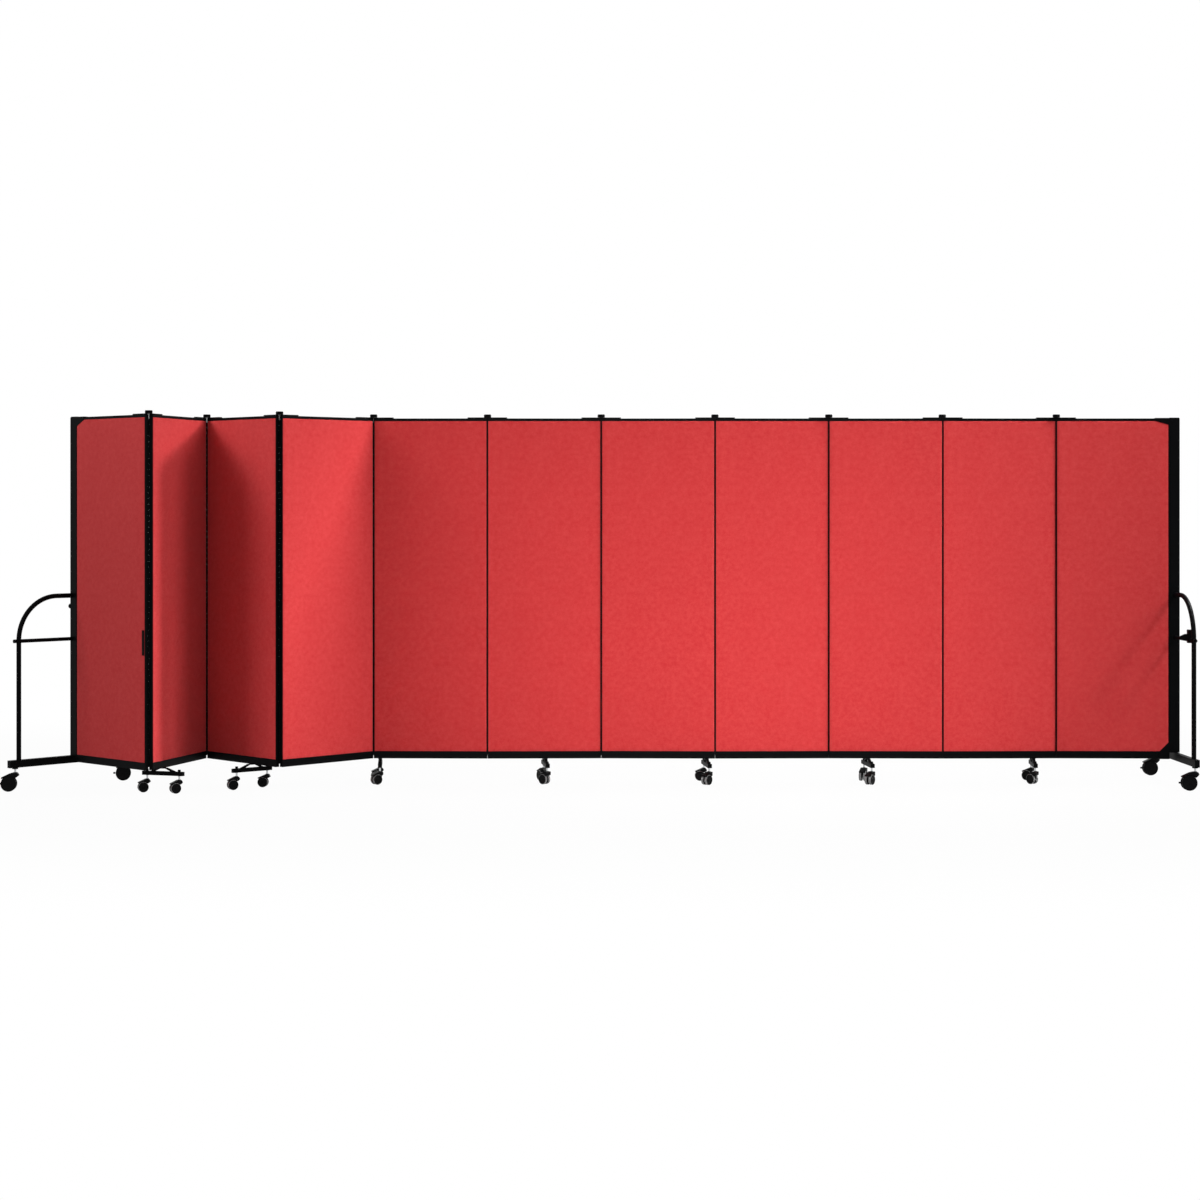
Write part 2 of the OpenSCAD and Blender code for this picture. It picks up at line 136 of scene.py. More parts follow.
def pick(piece, kind, wanted):
    """Selects in object mode the faces or edges for which wanted is true, and nothing else."""
    for group in (piece.data.vertices, piece.data.edges, piece.data.polygons):
        for element in group:
            element.select = False
    for element in getattr(piece.data, kind):
        element.select = wanted(element)


def apply(piece, kind, **settings):
    """Puts a modifier on a piece and applies it."""
    only(piece)
    modifier = piece.modifiers.new(kind.title(), kind)
    for key, value in settings.items():
        setattr(modifier, key, value)
    bpy.ops.object.modifier_apply(modifier=modifier.name)


def loop_of(name, points, fill):
    """A circle whose vertices are moved to the given points, open or filled."""
    bpy.ops.object.select_all(action="DESELECT")
    bpy.ops.mesh.primitive_circle_add(vertices=len(points), radius=1, fill_type=fill)
    piece = bpy.context.object
    piece.name = name
    for vertex, point in zip(piece.data.vertices, points):
        vertex.co = point
    return piece


def prism(name, points, lift):
    """A flat outline drawn out by the vector lift."""
    piece = loop_of(name, points, "NGON")
    with editing(piece):
        bpy.ops.mesh.extrude_region_move(TRANSFORM_OT_translate={"value": lift})
        bpy.ops.mesh.select_all(action="SELECT")
        bpy.ops.mesh.normals_make_consistent(inside=False)
    return piece


def lathe(name, outline, axis, steps=48):
    """A closed outline of (radius, height) turned about the axis "Y" or "Z" through the origin."""
    if axis == "Z":
        points = [(r, 0, h) for r, h in outline]
        vector = (0, 0, 1)
    else:
        points = [(r, h, 0) for r, h in outline]
        vector = (0, 1, 0)
    piece = loop_of(name, points, "NOTHING")
    on_axis = [v.index for v in piece.data.vertices if abs(v.co.x) < ON_AXIS]
    if on_axis:
        pick(piece, "edges", lambda e: all(v in on_axis for v in e.vertices))
        only(piece)
        bpy.ops.object.mode_set(mode="EDIT")
        bpy.ops.mesh.select_mode(type="EDGE")
        bpy.ops.mesh.delete(type="EDGE")
        bpy.ops.mesh.select_mode(type="VERT")
        bpy.ops.object.mode_set(mode="OBJECT")
    with editing(piece):
        bpy.ops.mesh.spin(steps=steps, angle=2 * math.pi, center=(0, 0, 0), axis=vector)
        bpy.ops.mesh.select_all(action="SELECT")
        bpy.ops.mesh.remove_doubles(threshold=SAME_PLACE)
        bpy.ops.mesh.normals_make_consistent(inside=False)
    return piece


def block(name, low, high, bevel=0.0):
    """A box between two corners, with its edges rounded."""
    low, high = Vector(low), Vector(high)
    bpy.ops.object.select_all(action="DESELECT")
    bpy.ops.mesh.primitive_cube_add(size=1, location=(low + high) / 2, scale=high - low)
    piece = bpy.context.object
    piece.name = name
    bpy.ops.object.transform_apply(location=True, rotation=False, scale=True)
    if bevel:
        apply(piece, "BEVEL", width=bevel, segments=3)
    return piece


def rod(name, start, end, radius, sides=32):
    """A straight round bar from one point to another."""
    start, end = Vector(start), Vector(end)
    run = end - start
    bpy.ops.object.select_all(action="DESELECT")
    bpy.ops.mesh.primitive_cylinder_add(vertices=sides, radius=radius, depth=run.length)
    piece = bpy.context.object
    piece.name = name
    turn = run.to_track_quat("Z", "Y").to_matrix().to_4x4()
    piece.data.transform(Matrix.Translation((start + end) / 2) @ turn)
    return piece


def cut(piece, tool, operation="DIFFERENCE"):
    """Takes a tool out of a piece, or joins or crosses the two, and uses the tool up."""
    apply(piece, "BOOLEAN", operation=operation, object=tool, solver="EXACT")
    bpy.data.objects.remove(tool)


def join(pieces):
    """Makes one object of several, under the first one's name."""
    bpy.ops.object.select_all(action="DESELECT")
    for piece in pieces:
        piece.select_set(True)
    bpy.context.view_layer.objects.active = pieces[0]
    bpy.ops.object.join()
    return pieces[0]


def smooth(piece, angle=CREASE_ANGLE):
    """Smooth shading, with edges sharper than the angle left crisp."""
    only(piece)
    bpy.ops.object.shade_smooth_by_angle(angle=math.radians(angle))
    return piece


def copy_to(piece, name, place):
    """A copy with its own mesh, its place worked into the mesh."""
    twin = piece.copy()
    twin.data = piece.data.copy()
    twin.name = name
    twin.data.transform(place)
    bpy.context.scene.collection.objects.link(twin)
    return twin


def dress(piece, body, slot, *materials):
    """Ties a piece to its body and gives it its materials; the slot is not used."""
    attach(piece, body)
    piece.data.materials.clear()
    for material in materials:
        piece.data.materials.append(material)
    return piece


# ---- Finishes ----

# The Mix node's sockets for colours, which have the same names as those for numbers
MIX_FACTOR, MIX_LOW, MIX_HIGH, MIXED = 0, 6, 7, 2


class Wire:
    """A socket in a material's node tree. Arithmetic on it adds Math nodes."""

    def __init__(self, tree, socket=None):
        self.tree = tree
        self.socket = socket

    def node(self, kind, settings=None, sockets=None, out=0):
        """Adds a node: first its settings, then a value or a wire for each socket."""
        made = self.tree.nodes.new(kind)
        for key, value in (settings or {}).items():
            setattr(made, key, value)
        for key, value in (sockets or {}).items():
            if isinstance(value, Wire):
                self.tree.links.new(value.socket, made.inputs[key])
            else:
                made.inputs[key].default_value = value
        return Wire(self.tree, made.outputs[out]) if made.outputs else None

    def math(self, operation, *terms):
        return self.node("ShaderNodeMath", {"operation": operation}, dict(enumerate(terms)))

    def __add__(self, other):
        return self.math("ADD", self, other)

    def __sub__(self, other):
        return self.math("SUBTRACT", self, other)

    def __rsub__(self, other):
        return self.math("SUBTRACT", other, self)

    def __mul__(self, other):
        return self.math("MULTIPLY", self, other)

    __radd__ = __add__
    __rmul__ = __mul__

    def wave(self, pitch):
        """A sine of this length, with one cycle every pitch."""
        return self.math("SINE", self * (2 * math.pi / pitch))

    def between(self, low, high):
        """0 below low, 1 above high, and a smooth step from one to the other."""
        return self.node(
            "ShaderNodeMapRange",
            {"interpolation_type": "SMOOTHSTEP"},
            {"Value": self, "From Min": low, "From Max": high},
        )

    def tint(self, low, high):
        """Two colours mixed by this factor."""
        sockets = {MIX_FACTOR: self, MIX_LOW: low, MIX_HIGH: high}
        return self.node("ShaderNodeMix", {"data_type": "RGBA"}, sockets, out=MIXED)


def speckle(at, scale, detail=3.0, roughness=0.55):
    """Cloudy noise from 0 to 1, with this many clouds to the metre."""
    return at.node(
        "ShaderNodeTexNoise",
        {"noise_dimensions": "3D"},
        {"Vector": at, "Scale": scale, "Detail": detail, "Roughness": roughness},
    )


def relief(height, strength, depth):
    """A normal that follows this height, at most depth metres deep."""
    sockets = {"Height": height, "Strength": strength, "Distance": depth}
    return height.node("ShaderNodeBump", {}, sockets)


def finish(name, recipe, **fixed):
    """A material: recipe gives what varies over the surface, fixed what is the same all over."""
    material = bpy.data.materials.new(name)
    material.use_nodes = True
    tree = material.node_tree
    tree.nodes.clear()
    start = Wire(tree)
    sockets = {key.replace("_", " "): value for key, value in fixed.items()}
    sockets.update(recipe(start))
    shader = start.node("ShaderNodeBsdfPrincipled", {}, sockets)
    start.node("ShaderNodeOutputMaterial", {}, {"Surface": shader})
    return material


def object_at(start):
    return start.node("ShaderNodeTexCoord", out="Object")


def height_of(at):
    return at.node("ShaderNodeSeparateXYZ", {}, {0: at}, out="Z")


DEEP_BLACK, SOFT_BLACK = (0.0012, 0.0013, 0.0016, 1), (0.0026, 0.0028, 0.0032, 1)
DUST = (0.009, 0.0088, 0.0085, 1)
PLASTIC_BLACK, SCUFFED_BLACK = (0.0025, 0.0026, 0.0029, 1), (0.012, 0.0118, 0.0115, 1)
TREAD_BLACK, WORN_BLACK = (0.004, 0.004, 0.0045, 1), (0.014, 0.0135, 0.013, 1)
TREAD_GREY, WORN_GREY = (0.22, 0.222, 0.225, 1), (0.13, 0.13, 0.13, 1)
DULL_ZINC, BRIGHT_ZINC = (0.42, 0.43, 0.44, 1), (0.56, 0.57, 0.58, 1)
DARK_RED, LIGHT_RED = (0.605, 0.0255, 0.0295, 1), (0.72, 0.0655, 0.065, 1)
PALE_FUZZ = (1.0, 0.82, 0.82, 1)

DUST_SHARE = 0.35
DUSTY_BELOW, CLEAN_ABOVE = 50 * MM, 200 * MM
SCUFFED_BELOW, UNMARKED_ABOVE = 10 * MM, 70 * MM
RING_PITCH = 0.6 * MM


def powder_coat(start):
    """Black powder coat with a fine orange-peel skin, dusty near the floor."""
    at = object_at(start)
    peel = speckle(at, scale=900, detail=2)
    cloud = speckle(at, scale=14, detail=4)
    low_down = 1 - height_of(at).between(DUSTY_BELOW, CLEAN_ABOVE)
    dust = low_down * speckle(at, scale=160, detail=5).between(0.45, 0.75)
    return {
        "Base Color": (dust * DUST_SHARE).tint(cloud.tint(DEEP_BLACK, SOFT_BLACK), DUST),
        "Roughness": 0.40 + cloud * 0.10 + dust * 0.2,
        "Normal": relief(peel, strength=0.2, depth=0.2 * MM),
    }


def moulded_plastic(start):
    """Black moulded plastic with a spark-eroded grain and scuffs low down."""
    at = object_at(start)
    grain = speckle(at, scale=2600, detail=2)
    low_down = 1 - height_of(at).between(SCUFFED_BELOW, UNMARKED_ABOVE)
    scuff = speckle(at, scale=300, detail=6, roughness=0.7).between(0.56, 0.7) * low_down
    return {
        "Base Color": scuff.tint(PLASTIC_BLACK, SCUFFED_BLACK),
        "Roughness": 0.38 + scuff * 0.3,
        "Normal": relief(grain, strength=0.3, depth=0.1 * MM),
    }


def rubber(clean, worn):
    """The recipe for a tread in two shades, matt and finely grained."""

    def recipe(start):
        at = object_at(start)
        marks = speckle(at, scale=420, detail=6, roughness=0.7).between(0.45, 0.7)
        grain = speckle(at, scale=1800, detail=3)
        return {
            "Base Color": marks.tint(clean, worn),
            "Roughness": 0.6 + marks * 0.2,
            "Normal": relief(grain, strength=0.35, depth=0.2 * MM),
        }

    return recipe


def zinc_plate(start):
    """Bright zinc on turned steel, with fine rings round the upright stems."""
    at = object_at(start)
    rings = height_of(at).wave(RING_PITCH)
    cloud = speckle(at, scale=240, detail=4)
    return {
        "Base Color": cloud.tint(DULL_ZINC, BRIGHT_ZINC),
        "Roughness": 0.28 + cloud * 0.15,
        "Normal": relief(rings, strength=0.2, depth=0.05 * MM),
    }


WEAVE_MAP = "weave"
THREAD = 2.1 * MM
SLUB_STRETCH = (1, 0.12, 1)
WEAVE_SHARE, YARN_SHARE, SLUB_SHARE = 0.18, 0.5, 0.3
MOTTLE_SHARE, CLOUD_SHARE = 1.1, 0.3


def panel_cloth(start):
    """Red panel cloth: a plain weave of thick heathered yarn, its map laid out in metres."""
    at = start.node("ShaderNodeUVMap", {"uv_map": WEAVE_MAP})
    across = at.node("ShaderNodeSeparateXYZ", {}, {0: at}, out="X")
    along = at.node("ShaderNodeSeparateXYZ", {}, {0: at}, out="Y")
    warp, weft = across.wave(THREAD), along.wave(THREAD)
    weave = warp * weft
    yarn = speckle(at, scale=900, detail=3)
    drawn_out = at.node("ShaderNodeMapping", {}, {0: at, "Scale": SLUB_STRETCH})
    slub = speckle(drawn_out, scale=420, detail=2)
    mottle = speckle(at, scale=40, detail=4, roughness=0.75)
    cloud = speckle(at, scale=9, detail=5, roughness=0.6)
    clouds = (mottle - 0.5) * MOTTLE_SHARE + (cloud - 0.5) * CLOUD_SHARE
    shade = (
        0.5
        + weave * WEAVE_SHARE
        + (yarn - 0.5) * YARN_SHARE
        + (slub - 0.5) * SLUB_SHARE
        + clouds
    )
    return {
        "Base Color": shade.between(0.0, 1.0).tint(DARK_RED, LIGHT_RED),
        "Roughness": 0.82 + yarn * 0.1,
        "Normal": relief(weave + yarn * 0.6, strength=0.35, depth=0.3 * MM),
    }


black_coat = finish("black_powder_coat", powder_coat, Specular_IOR_Level=0.03)
red_cloth = finish(
    "red_panel_cloth",
    panel_cloth,
    Specular_IOR_Level=0.12,
    Sheen_Weight=0.2,
    Sheen_Roughness=0.5,
    Sheen_Tint=PALE_FUZZ,
)
black_plastic = finish("black_moulded_plastic", moulded_plastic, Specular_IOR_Level=0.05)
grey_tread = finish("grey_tread", rubber(TREAD_GREY, WORN_GREY))
black_tread = finish("black_tread", rubber(TREAD_BLACK, WORN_BLACK), Specular_IOR_Level=0.05)
zinc = finish("zinc_plated_steel", zinc_plate, Metallic=1.0)

for name, node in frame["nodes"].items():
    if name.endswith("_frame"):
        node.data.materials.clear()
        node.data.materials.append(black_coat)


# ---- Cloth ----

CLOTH_LOW, CLOTH_HIGH = 156 * MM, 1796 * MM
CLOTH_BACKING = 8.5 * MM
CLOTH_RISE = 1.5 * MM
CLOTH_CROWN = 0.7 * MM
CLOTH_THICKNESS = 0.9 * MM
EDGE_ROLL = 3.0 * MM
ROLL_STEPS = 5
CELL = 12.5 * MM
RIPPLE = 0.45 * MM
RIPPLES_ACROSS, RIPPLES_UP = 7, 1.6
RIPPLE_FALL, RIPPLE_GAP, RIPPLE_LAYERS = 0.8, 2.0, 2
RIPPLE_FADE = 80 * MM
PUCKER = 0.22 * MM
PUCKER_PITCH = 41 * MM
PUCKER_REACH = 30 * MM
PUCKER_DRIFT, DRIFTS = 2.5, 9
PANEL_SEED, BACK_SEED, SIDE_SEED = 3.7, 1.9, 5
CLOTH_EDGE = 4 * MM
CLOTH_END_EDGE = 11 * MM


def steps_across(low, high):
    """Positions from one edge to the other, close together where the cloth rolls over."""
    roll = [EDGE_ROLL * (1 - math.cos(math.pi / 2 * i / ROLL_STEPS)) for i in range(ROLL_STEPS)]
    inner_low, inner_high = low + EDGE_ROLL, high - EDGE_ROLL
    count = round((inner_high - inner_low) / CELL)
    inner = [inner_low + (inner_high - inner_low) * i / count for i in range(count + 1)]
    return [low + r for r in roll] + inner + [high - r for r in reversed(roll)]


def roll_off(distance):
    """How much of its rise the cloth keeps at this distance from an edge."""
    t = min(max(distance / EDGE_ROLL, 0.0), 1.0)
    return math.sqrt(1 - (1 - t) ** 2)


def pucker(along, distance, seed):
    """Small gathers that run in from an edge where the cloth is fixed behind it."""
    fade = math.exp(-distance / PUCKER_REACH)
    drift = PUCKER_DRIFT * noise.noise(Vector((along * DRIFTS, seed, 0)))
    return PUCKER * fade * math.sin(2 * math.pi * along / PUCKER_PITCH + drift)


def cloth_height(x, z, left, right, seed):
    """Height of the cloth over the frame it is stretched on."""
    to_side, to_end = min(x - left, right - x), min(z - CLOTH_LOW, CLOTH_HIGH - z)
    u, v = (x - left) / (right - left), (z - CLOTH_LOW) / (CLOTH_HIGH - CLOTH_LOW)
    crown = CLOTH_CROWN * (4 * u * (1 - u)) ** 0.5 * (4 * v * (1 - v)) ** 0.25
    at = Vector((x * RIPPLES_ACROSS, z * RIPPLES_UP, seed))
    ripple = RIPPLE * noise.fractal(at, RIPPLE_FALL, RIPPLE_GAP, RIPPLE_LAYERS)
    ripple *= min(to_side, to_end, RIPPLE_FADE) / RIPPLE_FADE
    gathers = pucker(x, to_end, seed) + pucker(z, to_side, seed + SIDE_SEED)
    return (CLOTH_RISE + crown + ripple + gathers) * roll_off(to_side) * roll_off(to_end)


def cloth_sheet(k, face):
    """One face of a panel's cover, laid out on its weave map in metres."""
    left = CLOTH_END_EDGE if k == 1 else CLOTH_EDGE
    right = PANEL_W - (CLOTH_END_EDGE if k == PANEL_COUNT else CLOTH_EDGE)
    xs, zs = steps_across(left, right), steps_across(CLOTH_LOW, CLOTH_HIGH)
    side = SIDES[face]
    seed = PANEL_SEED * k + (BACK_SEED if face == "back" else 0.0)
    points = [
        (x, side * (CLOTH_BACKING + cloth_height(x, z, left, right, seed)), z)
        for z in zs
        for x in xs
    ]
    row = len(xs)
    quads = [
        (j * row + i, j * row + i + 1, (j + 1) * row + i + 1, (j + 1) * row + i)
        for j in range(len(zs) - 1)
        for i in range(row - 1)
    ]
    if side > 0:
        quads = [tuple(reversed(quad)) for quad in quads]
    mesh = bpy.data.meshes.new(f"panel_{k:02d}_cloth_{face}")
    mesh.from_pydata(points, [], quads)
    weave = mesh.uv_layers.new(name=WEAVE_MAP)
    for corner in mesh.loops:
        x, _, z = points[corner.vertex_index]
        weave.data[corner.index].uv = (x, z)
    mesh.polygons.foreach_set("use_smooth", [True] * len(mesh.polygons))
    mesh.transform(panel_place(k))
    piece = bpy.data.objects.new(mesh.name, mesh)
    bpy.context.scene.collection.objects.link(piece)
    apply(piece, "SOLIDIFY", thickness=CLOTH_THICKNESS, offset=-1)
    dress(piece, f"panel_{k:02d}", "cloth", red_cloth)
    return piece


for k in range(1, PANEL_COUNT + 1):
    for face in SIDES:
        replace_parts(cloth_sheet(k, face), f"panel_{k:02d}_fabric")


# ---- Casters ----

CasterSize = namedtuple("CasterSize", "name wheel_r width trail hood stem_r mount")
SMALL = CasterSize("small", 25 * MM, 34 * MM, 20 * MM, 64 * MM, 4.5 * MM, 83 * MM)
LARGE = CasterSize("large", 37.5 * MM, 40 * MM, 30 * MM, 91 * MM, 5 * MM, 108 * MM)

WEB = 8 * MM
WHEEL_PLAY = 0.5 * MM
CLEARANCE = 0.1 * MM
AXLE_R = 2.5 * MM
SOFTEN = 0.7 * MM

# Housing: the cut and the tail are in wheel radii
HOOD_GAP = 1.5 * MM
HOOD_CUT = 1.64
TAIL_REACH = 0.96
NOSE_DROP = 11 * MM
TAIL_RISE = 7 * MM
TAIL_THICKNESS = 3 * MM
SIDE_MARGIN, SIDE_RECESS = 2.2 * MM, 0.7 * MM
NECK_FOOT, NECK_HEAD = 3.2 * MM, 2.6 * MM
NECK_SUNK, NECK_RISE = 1 * MM, 1.6 * MM
BOSS_FILL = 6.5 * MM
WEB_SUNK = 0.5 * MM
TOOL_PAST = 5 * MM

# Stem and axle
STEM_GRIP = 14 * MM
STEM_IN_BAR = 20 * MM
COLLAR_GAP, COLLAR_H = 0.4 * MM, 2.4 * MM
COLLAR_RIM, COLLAR_EDGE = 2 * MM, 0.4 * MM
AXLE_SHORT = 0.3 * MM
DOME_R, DOME_TOP_R = 3.4 * MM, 2.2 * MM
DOME_H, DOME_SIDE, DOME_RISE = 1.2 * MM, 0.6 * MM, 0.2 * MM
AXLE_SIDES = 24

# Wheels, from the rim inwards; the shoulder and the flat are in halves of the width
TREAD = 1.7 * MM
CROWN_DROP, CROWN_STEP = 0.9 * MM, 0.25 * MM
SHOULDER_AT, FLAT_TO = 0.82, 0.5
BACK_SET, RIM_EDGE = 0.3 * MM, 0.5 * MM
RIM_CHAMFER, RIM_LAND, RIM_STEP = 0.6 * MM, 2.4 * MM, 3.2 * MM
DISH_OUTER, DISH_MIDDLE, DISH_INNER = 1.4 * MM, 2.0 * MM, 1.6 * MM
HUB_R, HUB_EDGE = 5.2 * MM, 1.2 * MM
ROUND = 64

# Brake pedal
PEDAL_REACH, PEDAL_HALF = 12 * MM, 4 * MM
PEDAL_EDGE = 1 * MM
RIBS_AT = (4 * MM, 6.5 * MM, 9 * MM)
RIB_R = 0.6 * MM
RIB_SIDES = 12


def nose_plan(half, tail, steps=16):
    """The housing from above: a half circle about the stem, then straight back."""
    turns = [math.pi / 2 + math.pi * i / steps for i in range(steps + 1)]
    nose = [(half * math.cos(a), half * math.sin(a)) for a in turns]
    return nose + [(tail, -half), (tail, half)]


def housing(size):
    """Hood over both wheels, with the plate that holds the axle between them."""
    low, nose = HOOD_CUT * size.wheel_r, size.width / 2
    tail = size.trail + TAIL_REACH * size.wheel_r
    profile = [
        (-nose, size.hood - NOSE_DROP),
        (-nose / 2, size.hood),
        (nose / 2, size.hood),
        (size.trail, size.hood - NOSE_DROP / 2),
        (tail, low + TAIL_RISE),
        (tail, low + TAIL_THICKNESS),
        (tail - TAIL_THICKNESS, low),
        (0, low),
        (-nose, size.hood - NOSE_DROP - TAIL_THICKNESS),
    ]
    piece = prism(f"{size.name}_housing", [(x, -nose, z) for x, z in profile], (0, size.width, 0))
    pick(piece, "polygons", lambda f: abs(f.normal.y) > 0.9)
    only(piece)
    bpy.ops.object.mode_set(mode="EDIT")
    bpy.ops.mesh.inset(thickness=SIDE_MARGIN, depth=-SIDE_RECESS)
    bpy.ops.object.mode_set(mode="OBJECT")
    plan = [(x, y, low - TOOL_PAST) for x, y in nose_plan(nose, tail)]
    cut(piece, prism("plan", plan, (0, 0, size.hood - low + 2 * TOOL_PAST)), "INTERSECT")
    for s in (-1, 1):
        inner = (size.trail, s * WEB / 2, size.wheel_r)
        outer = (size.trail, s * size.width, size.wheel_r)
        cut(piece, rod("well", inner, outer, size.wheel_r + HOOD_GAP, ROUND))
    neck = [
        (0, size.hood - NECK_SUNK),
        (size.stem_r + NECK_FOOT, size.hood - NECK_SUNK),
        (size.stem_r + NECK_HEAD, size.hood + NECK_RISE),
        (0, size.hood + NECK_RISE),
    ]
    cut(piece, lathe("neck", neck, "Z"), "UNION")
    web = [
        (size.trail - BOSS_FILL, size.wheel_r),
        (0, low + WEB_SUNK),
        (size.trail + size.wheel_r / 2, low + WEB_SUNK),
        (size.trail + BOSS_FILL, size.wheel_r),
    ]
    cut(piece, prism("web", [(x, -WEB / 2, z) for x, z in web], (0, WEB, 0)), "UNION")
    ends = [(size.trail, s * WEB / 2, size.wheel_r) for s in (-1, 1)]
    cut(piece, rod("boss", *ends, BOSS_FILL), "UNION")
    corner = math.radians(CREASE_ANGLE)
    apply(piece, "BEVEL", width=SOFTEN, segments=2, limit_method="ANGLE", angle_limit=corner)
    return smooth(piece)


def stem(size):
    """Plated stem with its collar under the bar."""
    collar = size.mount - COLLAR_GAP
    outline = [
        (0, size.hood - STEM_GRIP),
        (size.stem_r, size.hood - STEM_GRIP),
        (size.stem_r, collar - COLLAR_H),
        (size.stem_r + COLLAR_RIM - COLLAR_EDGE, collar - COLLAR_H),
        (size.stem_r + COLLAR_RIM, collar - COLLAR_H + COLLAR_EDGE),
        (size.stem_r + COLLAR_RIM, collar - COLLAR_EDGE),
        (size.stem_r + COLLAR_RIM - COLLAR_EDGE, collar),
        (size.stem_r, collar),
        (size.stem_r, size.mount + STEM_IN_BAR),
        (0, size.mount + STEM_IN_BAR),
    ]
    return smooth(lathe(f"{size.name}_stem", outline, "Z"))


def to_axle(piece, size):
    """Puts a piece that was turned about the origin on the caster's axle."""
    piece.data.transform(Matrix.Translation((size.trail, 0, size.wheel_r)))
    return smooth(piece)


def axle(size):
    """Black axle with domed ends."""
    end = size.width / 2 - AXLE_SHORT
    tip = end + DOME_RISE
    dome = [(DOME_R, end - DOME_H), (DOME_R, end - DOME_SIDE), (DOME_TOP_R, end), (0, tip)]
    outline = [(0, -tip)] + [(a, -b) for a, b in reversed(dome[:-1])]
    outline += [(AXLE_R, DOME_H - end), (AXLE_R, end - DOME_H)] + dome
    return to_axle(lathe(f"{size.name}_axle", outline, "Y", AXLE_SIDES), size)


def half_wheel(size):
    """Half the thickness of one of the two wheels."""
    return (size.width / 2 - WEB / 2 - WHEEL_PLAY) / 2 - CLEARANCE


def both_sides(piece, size):
    """The same ring in the place of each of the two wheels."""
    inner = WEB / 2 + WHEEL_PLAY
    middle = inner + (size.width / 2 - inner) / 2
    turned = Matrix.Translation((0, middle, 0)) @ Matrix.Rotation(math.pi, 4, "Z")
    twin = copy_to(piece, "twin", turned)
    piece.data.transform(Matrix.Translation((0, -middle, 0)))
    return join([piece, twin])


def treads(size):
    """Both treads, crowned across their width."""
    r, half = size.wheel_r, half_wheel(size)
    shoulder = (r - CROWN_STEP, half * SHOULDER_AT)
    crown = [(r - CROWN_DROP, half), shoulder, (r, half * FLAT_TO), (r, 0)]
    outline = [(r - TREAD, half)] + crown + [(a, -b) for a, b in reversed(crown[:-1])]
    outline.append((r - TREAD, -half))
    return to_axle(both_sides(lathe(f"{size.name}_treads", outline, "Y", ROUND), size), size)


def discs(size):
    """Wheel discs, dished between rim and hub; -y is the outer face before they are set."""
    half, rim, bore = half_wheel(size), size.wheel_r - TREAD, AXLE_R + CLEARANCE
    outline = [
        (bore, half - BACK_SET),
        (rim, half - BACK_SET),
        (rim, RIM_EDGE - half),
        (rim - RIM_CHAMFER, -half),
        (rim - RIM_LAND, -half),
        (rim - RIM_STEP, DISH_OUTER - half),
        ((rim + HUB_R) / 2, DISH_MIDDLE - half),
        (HUB_R + HUB_EDGE, DISH_INNER - half),
        (HUB_R, BACK_SET - half),
        (AXLE_R + HUB_EDGE, BACK_SET - half),
        (bore, DISH_INNER - half),
    ]
    return to_axle(both_sides(lathe(f"{size.name}_discs", outline, "Y", ROUND), size), size)


def pedal(size):
    """Ribbed tab just past the wheels, on the side away from the stem."""
    x, z = size.trail + size.wheel_r, size.wheel_r
    low = (x + HOOD_GAP, -WEB / 2, z - PEDAL_HALF)
    high = (x + PEDAL_REACH, WEB / 2, z + PEDAL_HALF)
    end = WEB / 2 - PEDAL_EDGE
    ribs = [
        rod("rib", (x + d, -end, high[2]), (x + d, end, high[2]), RIB_R, RIB_SIDES)
        for d in RIBS_AT
    ]
    return smooth(join([block("pedal", low, high, PEDAL_EDGE)] + ribs))


def caster_names():
    feet = [f"panel_{k:02d}_{side}" for k in FOOTED for side in SIDES]
    return feet + [f"{end}_end_{side}" for end in ASKEW for side in SIDES]


masters = {
    size: {make.__name__: make(size) for make in (housing, stem, axle, treads, discs)}
    for size in (SMALL, LARGE)
}
masters[LARGE]["pedal"] = pedal(LARGE)

for name in caster_names():
    size, tread = (LARGE, black_tread) if "_end_" in name else (SMALL, grey_tread)
    place = caster_place(name)
    made = {part: copy_to(piece, f"{name}_{part}", place) for part, piece in masters[size].items()}
    shell = dress(made["housing"], f"{name}_swivel", "caster_body", black_plastic)
    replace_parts(shell, f"{name}_caster")
    dress(made["stem"], f"{name}_swivel", "caster_body", zinc)
    dress(made["axle"], f"{name}_swivel", "caster_body", black_plastic)
    tyre = dress(made["treads"], f"{name}_roll", f"{size.name}_wheel", tread)
    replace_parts(tyre, f"{name}_wheels")
    dress(made["discs"], f"{name}_roll", "caster_body", black_plastic)
    if "pedal" in made:
        dress(made["pedal"], f"{name}_swivel", "caster_body", black_plastic)

for made in masters.values():
    for piece in made.values():
        bpy.data.objects.remove(piece)


# ---- Studio ----

FLOOR_SIZE = 120
FLOOR_PAINT = (0.3, 0.3, 0.3, 1)
NEAR_WHITE = 0.97
CLEAR_OF_WALL, FAR_OFF = 1.2, 4.0
WHITE = (1, 1, 1, 1)
AMBIENT = 0.3
AIM_HEIGHT = 0.95

# Softboxes, each aimed at a point along the wall. From the right is 0 degrees around, from the
# front 90 and from the left 180; then come how far up, distance, size, spread, aim and power.
LAMPS = {
    "front_low": (94.0, 2.0, 7.36, 2.85, 20.0, 0.48, 10.1),
    "front_wide": (20.0, 32.0, 12.0, 4.0, 180.0, 0.0, 500),
    "right_near": (-10.0, 45.0, 5.0, 1.0, 60.0, 1.0, 94.0),
    "right_over": (16.5, 48.2, 10.52, 1.89, 20.0, 1.77, 17.8),
    "left_key": (181.9, 34.8, 6.91, 2.79, 57.7, 1.88, 19.3),
    "left_wide": (150.0, 32.0, 12.0, 4.0, 180.0, -1.8, 389),
}

bpy.ops.object.select_all(action="DESELECT")
bpy.ops.mesh.primitive_plane_add(size=FLOOR_SIZE)
floor = bpy.context.object
floor.name = "floor"


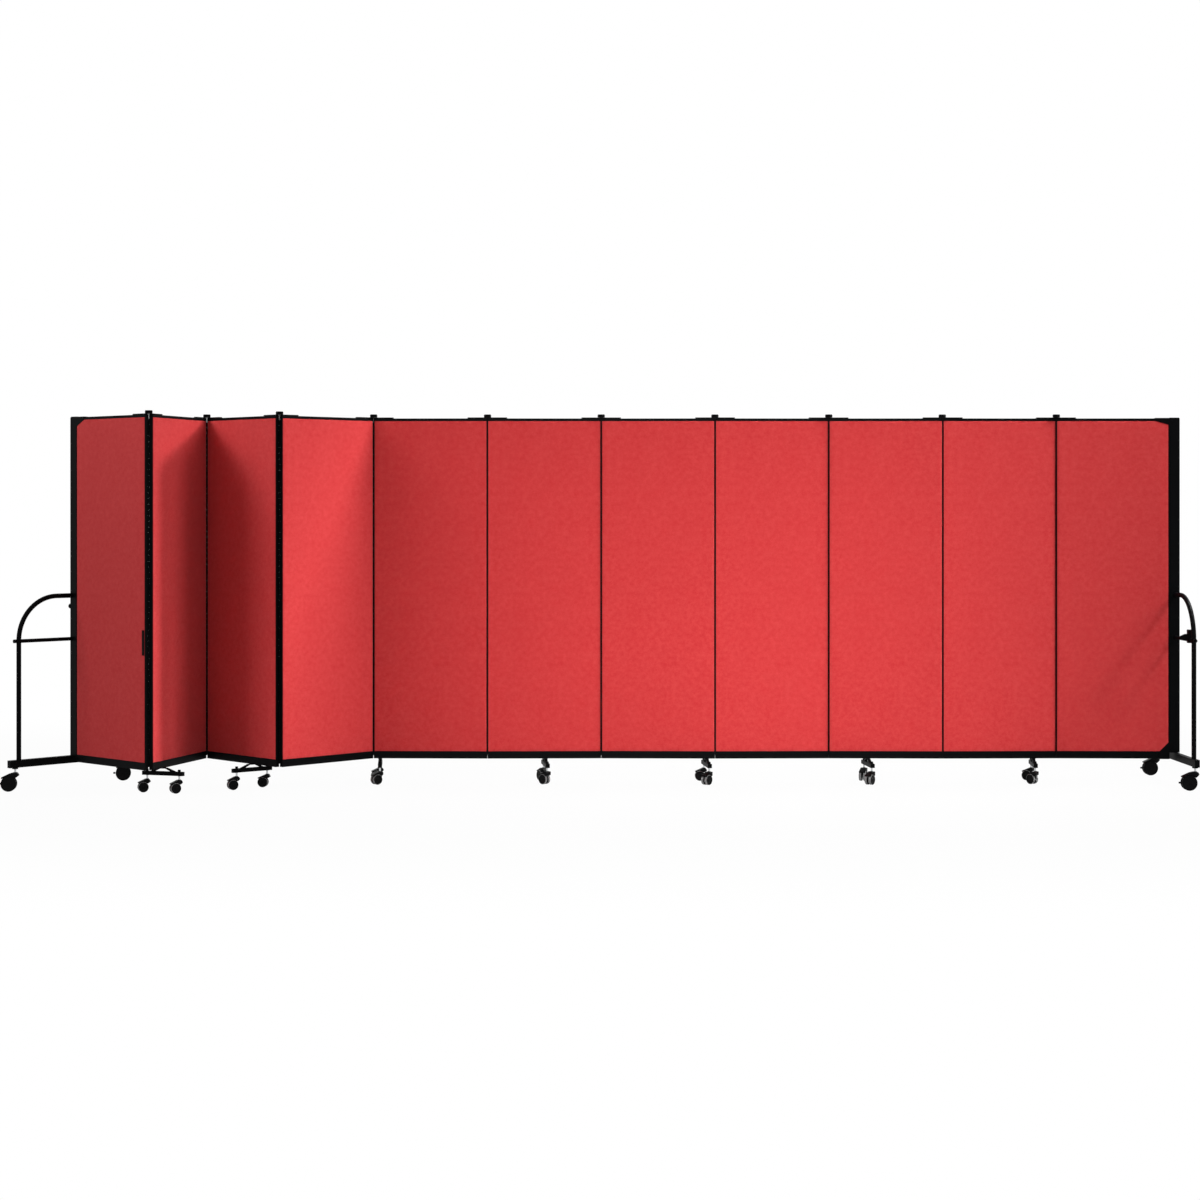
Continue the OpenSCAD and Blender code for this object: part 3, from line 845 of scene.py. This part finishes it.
def shown_white(start, shader, share):
    """Mixes plain white into what the camera, mirrors and glass see of a shader."""
    seen = start.node("ShaderNodeLightPath", out="Is Camera Ray")
    for ray in ("Is Glossy Ray", "Is Transmission Ray"):
        seen = seen.math("MAXIMUM", seen, start.node("ShaderNodeLightPath", out=ray))
    white = start.node("ShaderNodeEmission", {}, {"Color": WHITE, "Strength": 1.0})
    return start.node("ShaderNodeMixShader", {}, {0: seen * share, 1: shader, 2: white})


def pale_floor():
    """A pale floor that keeps the wall's shadow and turns plain white away from it."""
    material = bpy.data.materials.new("pale_floor")
    material.use_nodes = True
    material.node_tree.nodes.clear()
    start = Wire(material.node_tree)
    paint = start.node("ShaderNodeBsdfDiffuse", {}, {"Color": FLOOR_PAINT})
    depth = start.node("ShaderNodeSeparateXYZ", {}, {0: object_at(start)}, out="Y")
    away = depth.math("ABSOLUTE", depth).between(CLEAR_OF_WALL, FAR_OFF)
    share = NEAR_WHITE + away * (1 - NEAR_WHITE)
    start.node("ShaderNodeOutputMaterial", {}, {"Surface": shown_white(start, paint, share)})
    return material


floor.data.materials.append(pale_floor())

world = bpy.data.worlds.new("studio")
bpy.context.scene.world = world
world.use_nodes = True
world.node_tree.nodes.clear()
sky = Wire(world.node_tree)
dim = sky.node("ShaderNodeBackground", {}, {"Color": WHITE, "Strength": AMBIENT})
sky.node("ShaderNodeOutputWorld", {}, {"Surface": shown_white(sky, dim, 1.0)})


def lamp(name, around, up, distance, size, spread, aim_x, power):
    """A square softbox that looks at a point of the wall."""
    light = bpy.data.lights.new(name, "AREA")
    light.shape = "SQUARE"
    light.size = size
    light.spread = math.radians(spread)
    light.energy = power
    lamp_object = bpy.data.objects.new(name, light)
    bpy.context.scene.collection.objects.link(lamp_object)
    around, up = math.radians(around), math.radians(up)
    level = Vector((math.cos(around), -math.sin(around), 0)) * math.cos(up)
    toward = level + Vector((0, 0, math.sin(up)))
    lamp_object.location = Vector((aim_x, 0, AIM_HEIGHT)) + toward * distance
    lamp_object.rotation_mode = "QUATERNION"
    lamp_object.rotation_quaternion = toward.to_track_quat("Z", "Y")


for name, facts in LAMPS.items():
    lamp(name, *facts)

camera = bpy.data.cameras.new("camera")
camera.lens = CAMERA_LENS
camera.sensor_width = SENSOR_WIDTH
camera.shift_y = (HORIZON_BELOW_TOP - IMAGE_SIZE / 2) / IMAGE_SIZE
camera_object = bpy.data.objects.new("camera", camera)
camera_object.location = CAMERA_AT
camera_object.rotation_euler = (math.pi / 2, 0, 0)
bpy.context.scene.collection.objects.link(camera_object)
bpy.context.scene.camera = camera_object

bpy.context.scene.view_settings.view_transform = "Standard"
